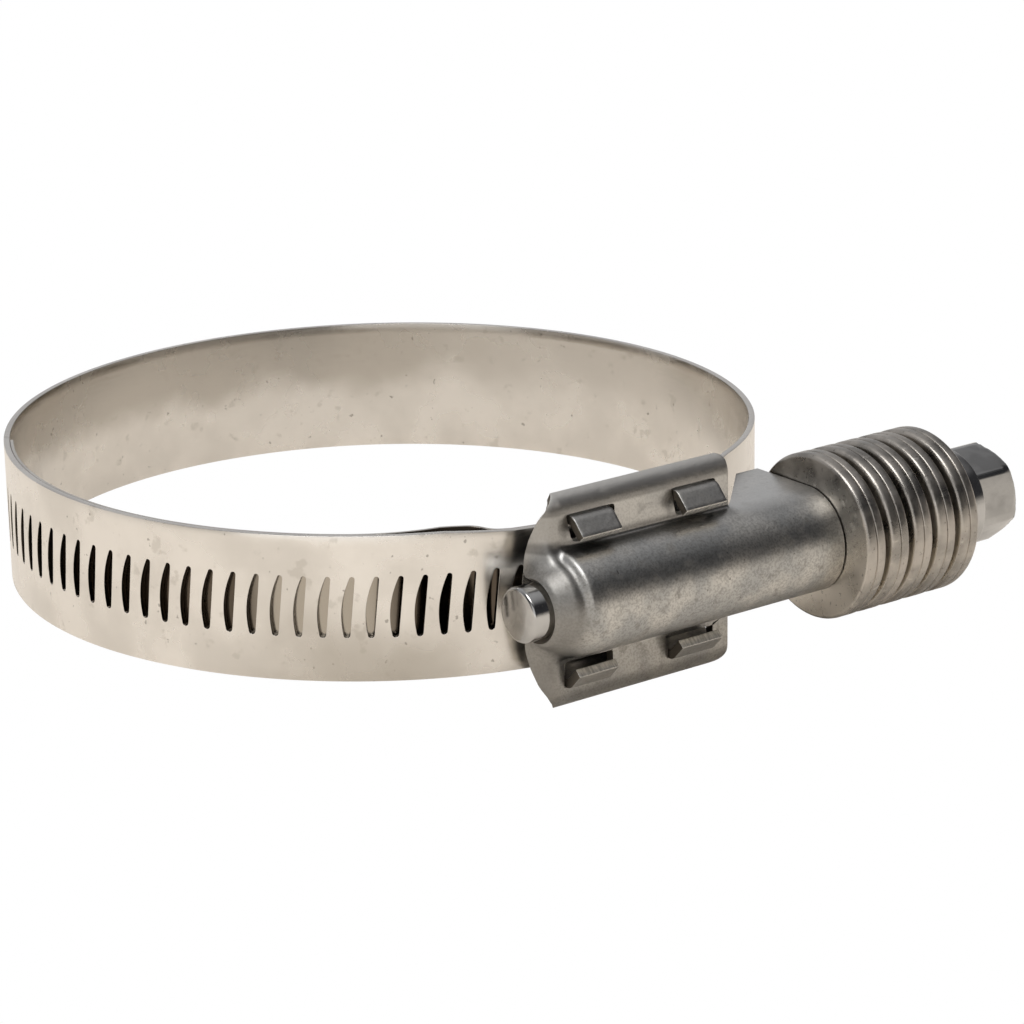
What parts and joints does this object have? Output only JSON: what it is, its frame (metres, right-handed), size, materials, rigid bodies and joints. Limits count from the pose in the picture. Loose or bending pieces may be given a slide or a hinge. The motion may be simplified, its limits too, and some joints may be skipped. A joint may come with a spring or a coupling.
{
  "type": "constant torque clamp",
  "caption": "Hose clamp with a slotted worm-drive band, a pressed housing and a stack of disc springs that keeps the band under steady tension.",
  "frame": {"origin": "centre of the hose circle, halfway across the band", "axes": "+Z along the hose axis across the band, +X along the screw from its tip to its hex head, housing on the -Y side"},
  "size_m": [0.0911, 0.0956, 0.023],
  "materials": {
    "band_strip": "rolled stainless strip, dull bright, finely specked",
    "liner_strip": "smooth thin stainless strip",
    "saddle_sheet": "pressed stainless sheet, worn at the folds",
    "housing_sheet": "pressed stainless sheet, stained and rubbed",
    "screw_steel": "bright plated steel, polished on the hex and tip",
    "spring_steel": "stainless spring discs, dark between the rims"
  },
  "bodies": {
    "frame": {"band": "band_strip", "liner": "liner_strip", "saddle": "saddle_sheet", "housing": "housing_sheet"},
    "disc_spring_01": {"disc_spring_01": "spring_steel"},
    "disc_spring_02": {"disc_spring_02": "spring_steel"},
    "disc_spring_03": {"disc_spring_03": "spring_steel"},
    "disc_spring_04": {"disc_spring_04": "spring_steel"},
    "disc_spring_05": {"disc_spring_05": "spring_steel"},
    "disc_spring_06": {"disc_spring_06": "spring_steel"},
    "disc_spring_07": {"disc_spring_07": "spring_steel"},
    "disc_spring_08": {"disc_spring_08": "spring_steel"},
    "disc_spring_09": {"disc_spring_09": "spring_steel"},
    "stack_end": {"disc_spring_10": "spring_steel"},
    "screw": {"screw": "screw_steel"}
  },
  "joints": [
    {"name": "disc_01_travel", "type": "slide", "parent": "frame", "child": "disc_spring_01", "axis": [-1, 0, 0], "range_m": [0, 0.00036], "deforming": ["disc_spring_01"]},
    {"name": "disc_02_travel", "type": "slide", "parent": "frame", "child": "disc_spring_02", "axis": [-1, 0, 0], "range_m": [0, 0.00072], "deforming": ["disc_spring_02"]},
    {"name": "disc_03_travel", "type": "slide", "parent": "frame", "child": "disc_spring_03", "axis": [-1, 0, 0], "range_m": [0, 0.00108], "deforming": ["disc_spring_03"]},
    {"name": "disc_04_travel", "type": "slide", "parent": "frame", "child": "disc_spring_04", "axis": [-1, 0, 0], "range_m": [0, 0.00144], "deforming": ["disc_spring_04"]},
    {"name": "disc_05_travel", "type": "slide", "parent": "frame", "child": "disc_spring_05", "axis": [-1, 0, 0], "range_m": [0, 0.0018], "deforming": ["disc_spring_05"]},
    {"name": "disc_06_travel", "type": "slide", "parent": "frame", "child": "disc_spring_06", "axis": [-1, 0, 0], "range_m": [0, 0.00216], "deforming": ["disc_spring_06"]},
    {"name": "disc_07_travel", "type": "slide", "parent": "frame", "child": "disc_spring_07", "axis": [-1, 0, 0], "range_m": [0, 0.00252], "deforming": ["disc_spring_07"]},
    {"name": "disc_08_travel", "type": "slide", "parent": "frame", "child": "disc_spring_08", "axis": [-1, 0, 0], "range_m": [0, 0.00288], "deforming": ["disc_spring_08"]},
    {"name": "disc_09_travel", "type": "slide", "parent": "frame", "child": "disc_spring_09", "axis": [-1, 0, 0], "range_m": [0, 0.00324], "deforming": ["disc_spring_09"]},
    {"name": "stack_travel", "type": "slide", "parent": "frame", "child": "stack_end", "axis": [-1, 0, 0], "range_m": [0, 0.0036], "stiffness_N_per_m": 2000, "deforming": ["disc_spring_10"]},
    {"name": "screw_turn", "type": "hinge", "parent": "stack_end", "child": "screw", "pos_m": [0, -0.04495, 0], "axis": [1, 0, 0], "continuous": true}
  ],
  "couplings": [
    {"joint": "disc_01_travel", "follows": "stack_travel", "ratio": 0.1},
    {"joint": "disc_02_travel", "follows": "stack_travel", "ratio": 0.2},
    {"joint": "disc_03_travel", "follows": "stack_travel", "ratio": 0.3},
    {"joint": "disc_04_travel", "follows": "stack_travel", "ratio": 0.4},
    {"joint": "disc_05_travel", "follows": "stack_travel", "ratio": 0.5},
    {"joint": "disc_06_travel", "follows": "stack_travel", "ratio": 0.6},
    {"joint": "disc_07_travel", "follows": "stack_travel", "ratio": 0.7},
    {"joint": "disc_08_travel", "follows": "stack_travel", "ratio": 0.8},
    {"joint": "disc_09_travel", "follows": "stack_travel", "ratio": 0.9}
  ]
}
